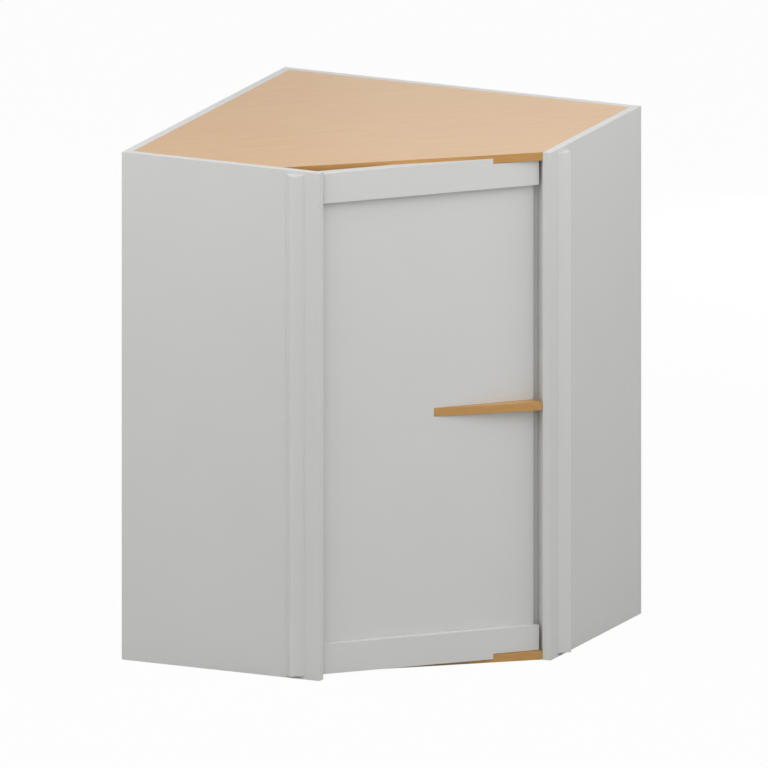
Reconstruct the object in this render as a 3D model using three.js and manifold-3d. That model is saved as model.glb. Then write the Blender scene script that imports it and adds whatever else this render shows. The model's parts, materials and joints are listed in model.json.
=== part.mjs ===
import * as THREE from 'three';
import { mergeVertices } from 'three/addons/utils/BufferGeometryUtils.js';
import Module from 'manifold-3d';

// Corner wall cabinet with a diagonal front: millimetres, +Z up, the door facing -Y.
// The cabinet's own group has its origin at the room corner, where both walls meet. In it,
// "across" is +X, along the door, and "out" is -Y, from the room corner towards the door.

// ---- Carcass ----
const inch = 25.4;
const wallRun = 27 * inch; // along each wall, from the room corner
const sideDepth = 15 * inch; // of each side panel, out from its wall
const cabinetHeight = 36 * inch;
const board = 15; // thickness of the panels, decks, shelf and hanging rails
const seam = 0.3; // gap between pieces that are fitted or glued together
const deckShortfall = 3 * inch; // the decks' left front corner stops this far behind the side's edge
const deckSetBack = 1.5; // the rest of the decks' front edge, behind the side panels' corners
const hangingRailHeight = 76;

// ---- Shelf and its pins ----
const shelfClearance = 1.5;
const shelfSetBack = 19; // from the back of the door's rails
const shelfMiddle = cabinetHeight / 2;
const shelfPinRadius = 2.5;
const shelfPinInsert = 8; // length inside the panel
const shelfPegRadius = 3.2;
const shelfPegLength = 9;
const pinEndInset = 44; // from the shelf's corners to the pins nearest them
const pinRowCount = 5; // holes in a column, the shelf's pin in the middle one
const pinRowPitch = 32;

// ---- Face frame and door ----
const frontSetBack = 10.3; // door and frame faces, behind the side panels' inner corners
const endShortfall = inch / 4; // door and frame, at top and bottom
const doorThickness = 22;
const doorRailHeight = 54;
const panelThickness = inch / 4;
const panelRecess = 12.3; // panel face, behind the rails' faces
const panelEdgeInset = 6; // panel edge, inside the rails' ends, at the side that opens
const panelTongue = 8; // depth of the panel in each rail
const scribeWidth = 25; // of the stile outside the side panel
const stopLip = 15.8; // door stop, proud of the right stile's inner face
const stopGap = 2; // between the stop and the back of the door
const stopDepth = 15;
const deckHeadroom = 0.8; // between a door rail and the deck above or below it
const deckFrontGap = 0.5; // between a deck's front edge and the rail that is rebated round it
const railNotchLength = 85.6; // the rails are cut away in full over this length at the free end

// ---- Pull ----
const pullHousing = 1.5; // depth of the pull's groove in the panel
const pullEndGap = 1; // between the pull's end and the right side panel
const pullHeight = 15;
const pullScrewInsets = [24, 94]; // from the pull's deep end
const pullScrewLength = 15;

// ---- Hinges ----
const hingeHeight = 50;
const leafThickness = 1.5;
const leafGap = 2.2; // between the closed leaves
const leafWidth = 19; // on the wood
const axisProud = 4; // hinge axis, in front of the door's face
const hingePinRadius = 1.25;
const hingePinClearance = 0.1;
const hingePinHead = 1.2;
const hingeScrewInset = 10; // from the leaf's ends
const hingeScrewSetBack = 11; // from the front of the wood

// ---- Catch ----
const catchWidth = 13;
const catchHeight = 24;
const catchDepth = 14;
const catchEar = 6; // length of each screw ear
const catchEarThickness = 2.5;
const magnetWidth = 7;
const magnetHeight = 18;
const magnetDepth = 9;
const strikeWidth = 12;
const strikeHeight = 30;
const strikeThickness = 1.2;
const strikeScrewOffset = 11;
const bumperRadius = 4;

// ---- Cam fittings ----
const camRadius = 7.5;
const camHeight = 11;
const camSetIn = 24; // cam's axis, from the side panel's face
const camBoltRadius = 3;
const camBoltInsert = 9; // length inside the side panel
const camRearInset = 60; // from the wall
const camFrontInset = 40; // from the deck's left front corner

// ---- Screws and roundness ----
const screwHeadRadius = 2.9;
const screwHeadDepth = 1.4;
const screwShankRadius = 1.4;
const screwTip = 2.5;
const hingeScrewLength = 13;
const catchScrewLength = 12;
const strikeScrewLength = 10;
const pullHeadRadius = 4;
const pullHeadDepth = 2.4;
const pullShankRadius = 2;
const sides = 12;

// ---- Derived places, all from the room corner ----
const diagonal = Math.SQRT2;
const sideFace = wallRun - board; // inner face of a side panel, along its wall
const cornerAcross = (sideFace - sideDepth) / diagonal;
const cornerOut = (sideFace + sideDepth) / diagonal;
const halfDepth = (wallRun + sideDepth) / diagonal / 2;
const frontOut = cornerOut - frontSetBack;
const doorBackOut = frontOut - doorThickness;
const stileLap = leafGap / 2 + leafThickness + seam;
const openingHalf = cornerAcross + stileLap;
const doorHalf = cornerAcross - stileLap;
const doorBottom = endShortfall;
const doorTop = cabinetHeight - endShortfall;
const deckLeftAcross = (sideDepth - deckShortfall - sideFace) / diagonal;
const deckLeftOut = (sideDepth - deckShortfall + sideFace) / diagonal;
const deckSkew = (cornerOut - deckLeftOut) / (cornerAcross - deckLeftAcross);
const shelfFrontOut = doorBackOut - shelfSetBack;
const shelfBottom = shelfMiddle - board / 2;
const hingeOut = frontOut + axisProud;
const stopFaceOut = doorBackOut - stopGap;
const stopAcross = openingHalf - stopLip;
const notchAcross = doorHalf - railNotchLength;
const panelBack = panelRecess + panelThickness;
const strikeFace = doorThickness + seam + strikeThickness; // of the strike plate, from the rails' faces
const pullEndAcross = cornerAcross - pullEndGap;
const pullStart = cornerAcross - (frontSetBack + panelRecess) / deckSkew; // its face meets the panel's
const pullFoot = panelRecess + pullHousing;

// ---- Materials ----
const paint = new THREE.MeshStandardMaterial({ color: 0xe4e3e0, roughness: 0.55, metalness: 0 });
const maple = new THREE.MeshStandardMaterial({ color: 0xd9b48c, roughness: 0.6, metalness: 0 });
const steel = new THREE.MeshStandardMaterial({ color: 0xb9babb, roughness: 0.35, metalness: 1 });
const plastic = new THREE.MeshStandardMaterial({ color: 0xe9e8e4, roughness: 0.5, metalness: 0 });
const ferrite = new THREE.MeshStandardMaterial({ color: 0x3c3d40, roughness: 0.6, metalness: 0 });
const felt = new THREE.MeshStandardMaterial({ color: 0xd8d5cc, roughness: 0.9, metalness: 0 });

// ---- Plan points ----
const LEFT = 'left';
const RIGHT = 'right';

function fromFront(across, out) {
  return new THREE.Vector2(across, -out);
}

// A point by its distance out from one wall and its distance along that wall from the room corner.
function fromWall(side, out, along) {
  const sign = side === LEFT ? -1 : 1;
  return fromFront((sign * (along - out)) / diagonal, (along + out) / diagonal);
}

function deckFrontOut(across) {
  return cornerOut - deckSetBack - deckSkew * (cornerAcross - across);
}

// Where the decks' front line is a given distance along a wall.
function deckFrontCorner(side, along) {
  const sign = side === LEFT ? -1 : 1;
  const across = (along * diagonal - deckFrontOut(0)) / (deckSkew + sign);
  return fromFront(across, deckFrontOut(across));
}

// ---- Solids ----
const wasm = await Module();
wasm.setup();

function toSolid(geometry) {
  const bare = geometry.clone();
  bare.deleteAttribute('normal');
  bare.deleteAttribute('uv');
  const merged = mergeVertices(bare, 1e-4);
  const index = merged.index.array;
  const kept = [];
  for (let i = 0; i < index.length; i += 3) {
    const [a, b, c] = index.subarray(i, i + 3);
    if (a !== b && b !== c && c !== a) {
      kept.push(a, b, c);
    }
  }
  return new wasm.Manifold(
    new wasm.Mesh({
      numProp: 3,
      vertProperties: new Float32Array(merged.attributes.position.array),
      triVerts: new Uint32Array(kept),
    }),
  );
}

function toGeometry(solid) {
  const mesh = solid.getMesh();
  const geometry = new THREE.BufferGeometry();
  geometry.setAttribute('position', new THREE.BufferAttribute(mesh.vertProperties, 3));
  geometry.setIndex(new THREE.BufferAttribute(mesh.triVerts, 1));
  geometry.computeVertexNormals();
  return geometry;
}

function joined(geometries) {
  return toGeometry(geometries.map(toSolid).reduce((sum, next) => sum.add(next)));
}

function cut(geometry, tools) {
  return toGeometry(tools.map(toSolid).reduce((rest, tool) => rest.subtract(tool), toSolid(geometry)));
}

function prism(corners, bottom, top) {
  const outline = new THREE.Shape(corners);
  const geometry = new THREE.ExtrudeGeometry(outline, { depth: top - bottom, bevelEnabled: false });
  return geometry.translate(0, 0, bottom);
}

function block(low, high) {
  const geometry = new THREE.BoxGeometry(high[0] - low[0], high[1] - low[1], high[2] - low[2]);
  return geometry.translate((low[0] + high[0]) / 2, (low[1] + high[1]) / 2, (low[2] + high[2]) / 2);
}

// A turned piece from its half outline: [radius, distance along the axis] pairs.
function turned(outline) {
  return new THREE.LatheGeometry(outline.map(([radius, along]) => new THREE.Vector2(radius, along)), sides);
}

function rod(radius, start, end) {
  return turned([
    [0, start],
    [radius, start],
    [radius, end],
    [0, end],
  ]);
}

const lengthwise = new THREE.Vector3(0, 1, 0);

function turnTo(heading) {
  return new THREE.Quaternion().setFromUnitVectors(lengthwise, heading);
}

// A cutting tool laid along a heading from a place.
function laid(geometry, place, heading) {
  return geometry.applyQuaternion(turnTo(heading)).translate(place.x, place.y, place.z);
}

function lifted(planPoint, height) {
  return new THREE.Vector3(planPoint.x, planPoint.y, height);
}

// The level heading along a wall, away from the room corner, or out from it.
function headingAlong(side) {
  return lifted(fromWall(side, 0, 1), 0).normalize();
}

function headingOut(side) {
  return lifted(fromWall(side, 1, 0), 0).normalize();
}

const toTheRight = new THREE.Vector3(1, 0, 0);
const toTheLeft = new THREE.Vector3(-1, 0, 0);
const toTheRoom = new THREE.Vector3(0, -1, 0);
const toTheWall = new THREE.Vector3(0, 1, 0);
const upward = new THREE.Vector3(0, 0, 1);

// ---- Groups ----
const cabinet = new THREE.Group();
cabinet.position.y = halfDepth;
const door = new THREE.Group();
door.position.y = -frontOut;
cabinet.add(door);

function add(group, name, geometry, material) {
  const mesh = new THREE.Mesh(geometry, material);
  mesh.name = name;
  group.add(mesh);
  return mesh;
}

function addLaid(group, name, geometry, material, place, heading) {
  const mesh = add(group, name, geometry, material);
  mesh.position.copy(place);
  mesh.quaternion.copy(turnTo(heading));
}

// ---- Screws ----
function screwShape(length) {
  return turned([
    [0, 0],
    [screwHeadRadius, 0],
    [screwShankRadius, screwHeadDepth],
    [screwShankRadius, length - screwTip],
    [0, length],
  ]);
}

function screwHole(length) {
  return turned([
    [0, -1],
    [screwHeadRadius + seam, -1],
    [screwHeadRadius + seam, 0],
    [screwShankRadius + seam, screwHeadDepth],
    [screwShankRadius + seam, length + seam],
    [0, length + seam],
  ]);
}

// ---- Shelf pins: two on each side panel and one on each back panel ----
const shelfFrontAlong = shelfFrontOut * diagonal - (sideFace - shelfClearance);
const pinHeight = shelfBottom - seam - shelfPegRadius;

function sideShelfPins(side) {
  return [board + pinEndInset, shelfFrontAlong - pinEndInset].map((out, i) => ({
    name: `shelf_pin_${side}_${i === 0 ? 'rear' : 'front'}`,
    place: fromWall(side, out, sideFace),
    inward: headingAlong(side),
  }));
}

function backShelfPin(side) {
  return {
    name: `shelf_pin_${side}_back`,
    place: fromWall(side, board, wallRun / 2),
    inward: headingOut(side).negate(),
  };
}

function pinHoles(pin) {
  const holes = [];
  for (let row = 0; row < pinRowCount; row += 1) {
    const height = pinHeight + (row - (pinRowCount - 1) / 2) * pinRowPitch;
    const hole = rod(shelfPinRadius + seam, -1, shelfPinInsert + seam);
    holes.push(laid(hole, lifted(pin.place, height), pin.inward));
  }
  return holes;
}

function addShelfPin(pin) {
  const shape = turned([
    [0, -shelfPegLength],
    [shelfPegRadius, -shelfPegLength],
    [shelfPegRadius, -seam],
    [shelfPinRadius, -seam],
    [shelfPinRadius, shelfPinInsert],
    [0, shelfPinInsert],
  ]);
  addLaid(cabinet, pin.name, shape, plastic, lifted(pin.place, pinHeight), pin.inward);
}

// ---- Cam fittings: two at each end of each deck ----
const camFrontOut = {
  [LEFT]: sideDepth - deckShortfall - camFrontInset,
  [RIGHT]: sideDepth - camFrontInset,
};

function camFittings(side, level) {
  const atTop = level === 'top';
  return [camRearInset, camFrontOut[side]].map((out, i) => ({
    name: `cam_fitting_${level}_${side}_${i === 0 ? 'rear' : 'front'}`,
    place: lifted(fromWall(side, out, sideFace - camSetIn), atTop ? cabinetHeight - board : board),
    sink: atTop ? 1 : -1,
    side,
  }));
}

// A cam and its bolt, larger all round by a gap when it is the hole for them.
function camShape(fitting, gap) {
  const middle = (fitting.sink * board) / 2;
  const reach = camHeight + gap;
  const face = gap > 0 ? -1 : 0;
  const ends = fitting.sink > 0 ? [face, reach] : [-reach, -face];
  const cam = rod(camRadius + gap, ends[0], ends[1]).rotateX(Math.PI / 2);
  const bolt = rod(camBoltRadius + gap, 0, camSetIn + camBoltInsert + gap);
  laid(bolt, new THREE.Vector3(0, 0, middle), headingAlong(fitting.side));
  return joined([cam, bolt]);
}

function camHole(fitting) {
  return camShape(fitting, seam).translate(fitting.place.x, fitting.place.y, fitting.place.z);
}

function addCamFitting(fitting) {
  const mesh = add(cabinet, fitting.name, camShape(fitting, 0), steel);
  mesh.position.copy(fitting.place);
}

// ---- Carcass pieces ----
const sideNames = [LEFT, RIGHT];
const levels = ['bottom', 'top'];

function wallPrism(side, outs, alongs, heights) {
  const corners = [
    fromWall(side, outs[0], alongs[0]),
    fromWall(side, outs[1], alongs[0]),
    fromWall(side, outs[1], alongs[1]),
    fromWall(side, outs[0], alongs[1]),
  ];
  return prism(corners, heights[0], heights[1]);
}

function addSidePanel(side) {
  const panel = wallPrism(side, [0, sideDepth], [sideFace, wallRun], [0, cabinetHeight]);
  const holes = sideShelfPins(side).flatMap(pinHoles);
  const camHoles = levels.flatMap((level) => camFittings(side, level)).map(camHole);
  add(cabinet, `${side}_side_panel`, cut(panel, [...holes, ...camHoles]), paint);
}

// The left back panel fills the room corner, and the right one butts against it.
function addBackPanel(side) {
  const start = side === LEFT ? 0 : board + seam;
  const panel = wallPrism(side, [0, board], [start, sideFace - seam], [0, cabinetHeight]);
  add(cabinet, `${side}_back_panel`, cut(panel, pinHoles(backShelfPin(side))), paint);
}

function addDeck(level) {
  const bottom = level === 'top' ? cabinetHeight - board : 0;
  const inner = board + seam;
  const end = sideFace - seam;
  const corners = [
    fromWall(LEFT, inner, inner),
    fromWall(RIGHT, inner, end),
    deckFrontCorner(RIGHT, end),
    deckFrontCorner(LEFT, end),
    fromWall(LEFT, inner, end),
  ];
  const holes = sideNames.flatMap((side) => camFittings(side, level)).map(camHole);
  add(cabinet, `${level}_deck`, cut(prism(corners, bottom, bottom + board), holes), maple);
}

function addHangingRail(side, level) {
  const low = level === 'upper' ? cabinetHeight - board - seam - hangingRailHeight : board + seam;
  const near = board + seam;
  const start = side === LEFT ? near : near + board + seam;
  const heights = [low, low + hangingRailHeight];
  const rail = wallPrism(side, [near, near + board], [start, sideFace - seam], heights);
  add(cabinet, `${level}_${side}_hanging_rail`, rail, maple);
}

function addShelf() {
  const near = board + shelfClearance;
  const end = sideFace - shelfClearance;
  const corners = [
    fromWall(LEFT, near, near),
    fromWall(RIGHT, near, end),
    fromWall(RIGHT, shelfFrontAlong, end),
    fromWall(LEFT, shelfFrontAlong, end),
    fromWall(LEFT, near, end),
  ];
  add(cabinet, 'shelf', prism(corners, shelfBottom, shelfBottom + board), maple);
}

// ---- Face frame ----
// Distance across to a side panel's face at a distance out, moved off the face by the seam.
function sideFaceAcross(along, out, off) {
  return (along + off) * diagonal - out;
}

function addScribeStile(side, sign) {
  const outer = sideFaceAcross(wallRun, frontOut, seam) + scribeWidth;
  const corners = [
    fromFront(sign * sideFaceAcross(wallRun, frontOut, seam), frontOut),
    fromFront(sign * outer, frontOut),
    fromFront(sign * outer, doorBackOut),
    fromFront(sign * sideFaceAcross(wallRun, doorBackOut, seam), doorBackOut),
  ];
  add(cabinet, `${side}_scribe_stile`, prism(corners, doorBottom, doorTop), paint);
}

const hingeHeights = [doorBottom + doorRailHeight / 2, doorTop - doorRailHeight / 2];
const hingeNames = ['lower', 'upper'];
const hingeScrewReach = hingeHeight / 2 - hingeScrewInset;
const hingeScrewHeights = [-hingeScrewReach, hingeScrewReach];

function hingeScrews(height) {
  return hingeScrewHeights.map((offset) => height + offset);
}

function addLeftFrameStile() {
  const corners = [
    fromFront(-sideFaceAcross(sideFace, frontOut, -seam), frontOut),
    fromFront(-openingHalf, frontOut),
    fromFront(-openingHalf, doorBackOut),
    fromFront(-sideFaceAcross(sideFace, doorBackOut, -seam), doorBackOut),
  ];
  const screwAcross = -openingHalf + seam + leafThickness;
  const holes = hingeHeights.flatMap(hingeScrews).map((height) => {
    const place = lifted(fromFront(screwAcross, frontOut - hingeScrewSetBack), height);
    return laid(screwHole(hingeScrewLength), place, toTheLeft);
  });
  add(cabinet, 'left_frame_stile', cut(prism(corners, doorBottom, doorTop), holes), paint);
}

const catchMiddle = cabinetHeight - board - deckHeadroom - seam - catchEar - catchHeight / 2;
const catchScrewHeights = [-1, 1].map((way) => catchMiddle + (way * (catchHeight + catchEar)) / 2);
const catchFrontOut = frontOut - strikeFace - seam;
const catchScrewPlace = fromFront(stopAcross - seam - catchEarThickness, catchFrontOut - catchDepth / 2);

function addRightFrameStile() {
  const backOut = stopFaceOut - stopDepth;
  const corners = [
    fromFront(sideFaceAcross(sideFace, frontOut, -seam), frontOut),
    fromFront(openingHalf, frontOut),
    fromFront(openingHalf, stopFaceOut),
    fromFront(stopAcross, stopFaceOut),
    fromFront(stopAcross, backOut),
    fromFront(sideFaceAcross(sideFace, backOut, -seam), backOut),
  ];
  const stile = prism(corners, board + seam, cabinetHeight - board - seam);
  const holes = catchScrewHeights.map((height) =>
    laid(screwHole(catchScrewLength), lifted(catchScrewPlace, height), toTheRight),
  );
  add(cabinet, 'right_frame_stile', cut(stile, holes), paint);
}

// ---- Door: its group has y = 0 at the rails' faces and +y towards the wall ----
const strikeAcross = stopAcross - seam - catchWidth / 2;
const strikeScrews = [-1, 1].map(
  (way) => new THREE.Vector3(strikeAcross, strikeFace, catchMiddle + way * strikeScrewOffset),
);
const bumperAcross = (stopAcross + doorHalf) / 2;

// The space that a deck takes out of a door rail, with its clearances.
function deckSpace(bottom, top) {
  const beyond = doorHalf + board;
  const back = doorThickness + board;
  const edge = (across) => frontOut - deckFrontOut(across) - deckFrontGap;
  const corners = [
    new THREE.Vector2(-beyond, edge(-beyond)),
    new THREE.Vector2(notchAcross, edge(notchAcross)),
    new THREE.Vector2(notchAcross, -1),
    new THREE.Vector2(beyond, -1),
    new THREE.Vector2(beyond, back + board),
    new THREE.Vector2(-beyond, back + board),
  ];
  return prism(corners, bottom, top);
}

function addDoorRail(level, hingeMiddle) {
  const isTop = level === 'top';
  const low = isTop ? doorTop - doorRailHeight : doorBottom;
  const high = low + doorRailHeight;
  const rail = block([-doorHalf, 0, low], [doorHalf, doorThickness, high]);
  const grooveLow = isTop ? low - 1 : high - panelTongue - seam;
  const grooveHigh = isTop ? low + panelTongue + seam : high + 1;
  const groove = block(
    [-doorHalf - 1, panelRecess - seam, grooveLow],
    [doorHalf + 1, panelBack + seam, grooveHigh],
  );
  const deckLow = isTop ? cabinetHeight - board - deckHeadroom : 0;
  const deckHigh = isTop ? cabinetHeight : board + deckHeadroom;
  const hingeHoles = hingeScrews(hingeMiddle).map((height) => {
    const place = new THREE.Vector3(-doorHalf - seam - leafThickness, hingeScrewSetBack, height);
    return laid(screwHole(hingeScrewLength), place, toTheRight);
  });
  const strikeHoles = isTop
    ? strikeScrews.map((place) => laid(screwHole(strikeScrewLength), place, toTheRoom))
    : [];
  const tools = [groove, deckSpace(deckLow, deckHigh), ...hingeHoles, ...strikeHoles];
  add(door, `door_${level}_rail`, cut(rail, tools), paint);
}

const pullScrewPlaces = pullScrewInsets.map(
  (inset) => new THREE.Vector3(pullEndAcross - inset, panelBack + seam, shelfMiddle),
);

function pullHole() {
  return rod(pullShankRadius + seam, -1, pullScrewLength + seam);
}

function addDoorPanel() {
  const low = doorBottom + doorRailHeight - panelTongue;
  const high = doorTop - doorRailHeight + panelTongue;
  const panel = block([-doorHalf, panelRecess, low], [doorHalf - panelEdgeInset, panelBack, high]);
  const groove = block(
    [pullStart - seam, panelRecess - 1, shelfMiddle - pullHeight / 2 - seam],
    [doorHalf, pullFoot, shelfMiddle + pullHeight / 2 + seam],
  );
  const holes = pullScrewPlaces.map((place) => laid(pullHole(), place, toTheRoom));
  add(door, 'door_panel', cut(panel, [groove, ...holes]), paint);
}

// The pull's face follows the line of the decks' front edges.
function addPull() {
  const face = (across) => frontOut - deckFrontOut(across) - deckSetBack;
  const foot = pullFoot - seam;
  const corners = [
    new THREE.Vector2(pullStart, foot),
    new THREE.Vector2(pullStart, face(pullStart)),
    new THREE.Vector2(pullEndAcross, face(pullEndAcross)),
    new THREE.Vector2(pullEndAcross, foot),
  ];
  const strip = prism(corners, shelfMiddle - pullHeight / 2, shelfMiddle + pullHeight / 2);
  const holes = pullScrewPlaces.map((place) => laid(pullHole(), place, toTheRoom));
  add(door, 'door_pull', cut(strip, holes), maple);
}

function addPullScrews() {
  pullScrewPlaces.forEach((place, i) => {
    const shape = turned([
      [0, -pullHeadDepth],
      [pullHeadRadius, -pullHeadDepth],
      [pullHeadRadius, 0],
      [pullShankRadius, 0],
      [pullShankRadius, pullScrewLength - screwTip],
      [0, pullScrewLength],
    ]);
    addLaid(door, `pull_screw_${i + 1}`, shape, steel, place, toTheRoom);
  });
}

// ---- Hinges: each one's group has its origin on the pin's axis, at mid height ----
const barrelRadius = leafGap / 2 + leafThickness;
const knuckleHeight = (hingeHeight - 2 * seam) / 3;
const hingeScrewDepth = axisProud + hingeScrewSetBack;

function knuckle(low, high, radius) {
  return rod(radius, low, high).rotateX(Math.PI / 2);
}

function leafShape(sign, ownKnuckles, otherKnuckles) {
  const near = sign * (leafGap / 2);
  const far = sign * barrelRadius;
  const plate = block(
    [Math.min(near, far), 0, -hingeHeight / 2],
    [Math.max(near, far), axisProud + leafWidth, hingeHeight / 2],
  );
  const reliefs = otherKnuckles.map(([low, high]) =>
    knuckle(low - seam, high + seam, barrelRadius + seam),
  );
  const barrel = ownKnuckles.map(([low, high]) => knuckle(low, high, barrelRadius));
  const bore = knuckle(-hingeHeight, hingeHeight, hingePinRadius + hingePinClearance);
  const outward = sign > 0 ? toTheRight : toTheLeft;
  const holes = hingeScrewHeights.map((height) =>
    laid(screwHole(hingeScrewLength), new THREE.Vector3(near, hingeScrewDepth, height), outward),
  );
  return cut(joined([cut(plate, reliefs), ...barrel]), [bore, ...holes]);
}

function addHinge(name, height) {
  const hinge = new THREE.Group();
  hinge.position.set(-cornerAcross, -hingeOut, height);
  cabinet.add(hinge);
  const middle = [[-knuckleHeight / 2, knuckleHeight / 2]];
  const outer = [
    [-hingeHeight / 2, -knuckleHeight / 2 - seam],
    [knuckleHeight / 2 + seam, hingeHeight / 2],
  ];
  add(hinge, `${name}_hinge_frame_leaf`, leafShape(-1, outer, middle), steel);
  add(hinge, `${name}_hinge_door_leaf`, leafShape(1, middle, outer), steel);
  const top = hingeHeight / 2 + seam;
  const pinShape = turned([
    [0, -hingeHeight / 2],
    [hingePinRadius, -hingeHeight / 2],
    [hingePinRadius, top],
    [barrelRadius, top],
    [barrelRadius, top + hingePinHead],
    [0, top + hingePinHead],
  ]);
  addLaid(hinge, `${name}_hinge_pin`, pinShape, steel, new THREE.Vector3(), upward);
  hingeScrewHeights.forEach((offset, i) => {
    const frameScrew = new THREE.Vector3(-leafGap / 2, hingeScrewDepth, offset);
    const doorScrew = new THREE.Vector3(leafGap / 2, hingeScrewDepth, offset);
    const shape = screwShape(hingeScrewLength);
    addLaid(hinge, `${name}_hinge_frame_screw_${i + 1}`, shape, steel, frameScrew, toTheLeft);
    addLaid(hinge, `${name}_hinge_door_screw_${i + 1}`, shape, steel, doorScrew, toTheRight);
  });
}

// ---- Catch and stops ----
function addCatch() {
  const right = stopAcross - seam;
  const front = -catchFrontOut;
  const back = front + catchDepth;
  const half = catchHeight / 2;
  const housing = block([right - catchWidth, front, catchMiddle - half], [right, back, catchMiddle + half]);
  const ears = block(
    [right - catchEarThickness, front, catchMiddle - half - catchEar],
    [right, back, catchMiddle + half + catchEar],
  );
  const middle = right - catchWidth / 2;
  const pocket = block(
    [middle - magnetWidth / 2 - seam, front - 1, catchMiddle - magnetHeight / 2 - seam],
    [middle + magnetWidth / 2 + seam, front + magnetDepth + seam, catchMiddle + magnetHeight / 2 + seam],
  );
  const holes = catchScrewHeights.map((height) =>
    laid(screwHole(catchScrewLength), lifted(catchScrewPlace, height), toTheRight),
  );
  add(cabinet, 'catch_body', cut(joined([housing, ears]), [pocket, ...holes]), plastic);
  const magnet = block(
    [middle - magnetWidth / 2, front, catchMiddle - magnetHeight / 2],
    [middle + magnetWidth / 2, front + magnetDepth, catchMiddle + magnetHeight / 2],
  );
  add(cabinet, 'catch_magnet', magnet, ferrite);
  catchScrewHeights.forEach((height, i) => {
    const shape = screwShape(catchScrewLength);
    addLaid(cabinet, `catch_screw_${i + 1}`, shape, steel, lifted(catchScrewPlace, height), toTheRight);
  });
}

function addStrike() {
  const plate = block(
    [strikeAcross - strikeWidth / 2, doorThickness + seam, catchMiddle - strikeHeight / 2],
    [strikeAcross + strikeWidth / 2, strikeFace, catchMiddle + strikeHeight / 2],
  );
  const holes = strikeScrews.map((place) => laid(screwHole(strikeScrewLength), place, toTheRoom));
  add(door, 'catch_strike_plate', cut(plate, holes), steel);
  strikeScrews.forEach((place, i) => {
    const shape = screwShape(strikeScrewLength);
    addLaid(door, `strike_screw_${i + 1}`, shape, steel, place, toTheRoom);
  });
}

function addBumper(name, height) {
  const shape = rod(bumperRadius, seam, stopGap - seam);
  addLaid(door, name, shape, felt, new THREE.Vector3(bumperAcross, doorThickness, height), toTheWall);
}

sideNames.forEach(addSidePanel);
sideNames.forEach(addBackPanel);
levels.forEach(addDeck);
sideNames.forEach((side) => addHangingRail(side, 'upper'));
sideNames.forEach((side) => addHangingRail(side, 'lower'));
sideNames.forEach((side) => levels.forEach((level) => camFittings(side, level).forEach(addCamFitting)));
addShelf();
sideNames.forEach((side) => [...sideShelfPins(side), backShelfPin(side)].forEach(addShelfPin));
addScribeStile(LEFT, -1);
addScribeStile(RIGHT, 1);
addLeftFrameStile();
addRightFrameStile();
levels.forEach((level, i) => addDoorRail(level, hingeHeights[i]));
addDoorPanel();
addPull();
addPullScrews();
hingeNames.forEach((name, i) => addHinge(name, hingeHeights[i]));
addCatch();
addStrike();
addBumper('lower_bumper', doorBottom + doorRailHeight / 2);
addBumper('upper_bumper', doorTop - doorRailHeight / 2);

export default cabinet;
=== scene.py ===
"""Corner wall cabinet with a diagonal front: finishes, fine hardware, light and camera.

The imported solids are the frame. Boards keep their solids and get eased edges and a finish, and the small
hardware is rebuilt finer inside the space of its solid.
"""

from __future__ import annotations

import json
import logging
import math
from dataclasses import dataclass, field
from enum import Enum
from typing import Iterable, Sequence

import bmesh
import bpy
from mathutils import Matrix, Vector

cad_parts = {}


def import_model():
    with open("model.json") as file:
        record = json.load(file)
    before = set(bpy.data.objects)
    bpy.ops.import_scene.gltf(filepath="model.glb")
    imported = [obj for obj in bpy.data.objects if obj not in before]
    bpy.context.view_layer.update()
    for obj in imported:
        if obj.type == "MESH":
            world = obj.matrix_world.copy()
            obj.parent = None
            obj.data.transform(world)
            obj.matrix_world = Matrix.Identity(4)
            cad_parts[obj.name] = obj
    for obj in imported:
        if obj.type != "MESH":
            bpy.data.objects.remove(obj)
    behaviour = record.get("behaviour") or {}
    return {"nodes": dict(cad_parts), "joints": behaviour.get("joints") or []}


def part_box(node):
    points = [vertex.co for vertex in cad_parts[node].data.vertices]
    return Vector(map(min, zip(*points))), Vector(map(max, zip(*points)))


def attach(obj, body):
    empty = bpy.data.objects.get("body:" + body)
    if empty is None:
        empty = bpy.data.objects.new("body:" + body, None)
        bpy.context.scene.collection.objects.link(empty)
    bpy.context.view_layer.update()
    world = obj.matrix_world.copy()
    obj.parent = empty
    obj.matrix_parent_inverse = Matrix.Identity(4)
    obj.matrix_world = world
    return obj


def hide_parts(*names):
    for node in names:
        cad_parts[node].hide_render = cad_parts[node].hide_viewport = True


LOG = logging.getLogger("corner_cabinet")

MM = 0.001  # in metres
DIAGONAL = math.sqrt(2)  # of a square with a side of 1, because the walls stand at 45 degrees to the door
WHITE = (1.0, 1.0, 1.0, 1.0)
PAIR = (1, 2)  # numbers in the names of two pieces of one kind
SOFT_CUT_ANGLE = math.radians(40)  # edges sharper than this are eased, or stay sharp on a turned piece
FLAT_ANGLE = math.radians(0.5)  # faces closer in angle than this are one flat face
WELD_GAP = 0.002 * MM  # points closer than this are one point
OVERCUT = 1.0 * MM  # how far a cutting tool stands out of the piece
EASED_FACES = 3  # across an eased edge
FRONTWARD, REARWARD, RIGHTWARD = Vector((0, -1, 0)), Vector((0, 1, 0)), Vector((1, 0, 0))
Outline = Sequence[tuple[float, float]]


class Body(Enum):
    """The rigid bodies of the cabinet."""

    CARCASS = "carcass"
    DOOR = "door"


class Level(Enum):
    """The upper and the lower of two hinges, two bumpers or two hanging rails."""

    UPPER = "upper"
    LOWER = "lower"


class Side(Enum):
    """The two walls of the room corner."""

    LEFT = "left"
    RIGHT = "right"

    @property
    def sign(self) -> int:
        """Gives the side's sign along X."""
        return 1 if self is Side.RIGHT else -1


class Deck(Enum):
    """The two decks that close the carcass."""

    TOP = "top"
    BOTTOM = "bottom"


class End(Enum):
    """Where a small fitting sits along its side panel, or on the back panel."""

    REAR = "rear"
    FRONT = "front"
    BACK = "back"


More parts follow.
